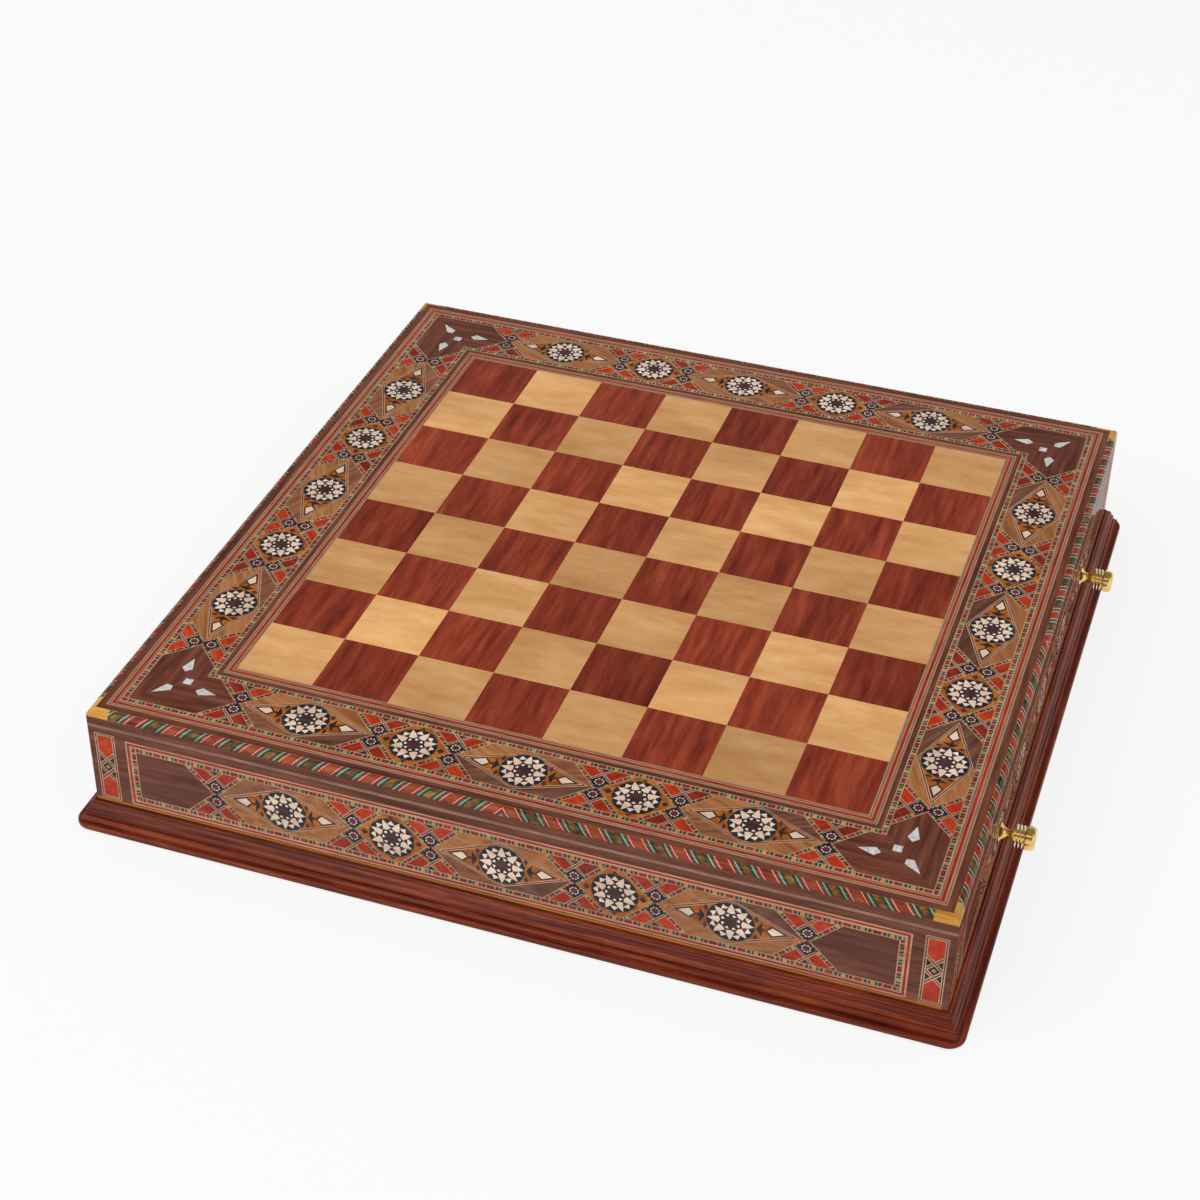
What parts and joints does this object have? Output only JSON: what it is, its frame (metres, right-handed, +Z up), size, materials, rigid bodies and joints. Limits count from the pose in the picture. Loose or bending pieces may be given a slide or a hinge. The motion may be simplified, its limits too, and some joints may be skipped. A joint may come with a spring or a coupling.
{
  "type": "chess box with drawer",
  "caption": "Square wooden chess box with an inlaid marquetry board top, striped edging, inlaid sides, a stepped base moulding and a wide divided drawer with brass knobs.",
  "frame": {"origin": "centre of the underside of the base, where the box stands", "axes": "+X out of the drawer face with the knobs, +Y from the near side to the far side, +Z up through the playing board"},
  "size_m": [0.4233, 0.416, 0.065],
  "materials": {
    "walnut": "gloss lacquer",
    "mahogany": "gloss lacquer",
    "padauk": "gloss lacquer",
    "light_squares_wood": "gloss lacquer",
    "dark_squares_wood": "gloss lacquer",
    "maple": "gloss lacquer",
    "red_dyed_wood": "gloss lacquer",
    "chain_wood": "gloss lacquer",
    "golden_wood": "gloss lacquer",
    "carcass_wood": "satin",
    "pearl": "gloss, mother-of-pearl",
    "baize": "matte",
    "felt": "matte",
    "brass": "polished",
    "steel": "satin"
  },
  "bodies": {
    "case": {"back_inlay_panel": "walnut", "back_marquetry_band": "padauk", "back_moulding": "mahogany", "back_wall": "walnut", "base_baize": "baize", "bottom_board": "carcass_wood", "bottom_screws": "steel", "corner_veneers": "walnut", "dark_squares": "dark_squares_wood", "drawer_rail": "mahogany", "drawer_stops": "carcass_wood", "edge_corner_pieces": "golden_wood", "edge_line": "maple", "end_inlay_panels": "padauk", "far_runner": "carcass_wood", "far_stile": "walnut", "foot_lines": "golden_wood", "front_inlay_panel": "walnut", "front_marquetry_band": "padauk", "front_moulding": "mahogany", "front_wall": "walnut", "inner_chain_border": "chain_wood", "inner_light_lines": "maple", "inner_red_line": "red_dyed_wood", "inner_walnut_border": "walnut", "left_inlay_panel": "walnut", "left_marquetry_band": "padauk", "left_moulding": "mahogany", "left_wall": "walnut", "light_squares": "light_squares_wood", "near_runner": "carcass_wood", "near_stile": "walnut", "outer_chain_border": "chain_wood", "outer_light_lines": "maple", "outer_red_line": "red_dyed_wood", "outer_walnut_border": "walnut", "pearl_inlays": "pearl", "right_marquetry_band": "padauk", "right_moulding": "mahogany", "striped_edging": "chain_wood", "top_board": "walnut"},
    "drawer": {"drawer_back": "carcass_wood", "drawer_bottom": "carcass_wood", "drawer_far_side": "carcass_wood", "drawer_felt": "felt", "drawer_front": "walnut", "drawer_inlay_panel": "walnut", "drawer_near_side": "carcass_wood", "cross_divider_1": "carcass_wood", "cross_divider_2": "carcass_wood", "cross_divider_3": "carcass_wood", "far_knob": "brass", "knob_screws": "steel", "long_divider_1": "carcass_wood", "long_divider_2": "carcass_wood", "long_divider_3": "carcass_wood", "long_divider_4": "carcass_wood", "long_divider_5": "carcass_wood", "near_knob": "brass"}
  },
  "joints": [
    {"name": "drawer_slide", "type": "slide", "parent": "case", "child": "drawer", "axis": [1, 0, 0], "range_m": [0, 0.29]}
  ]
}
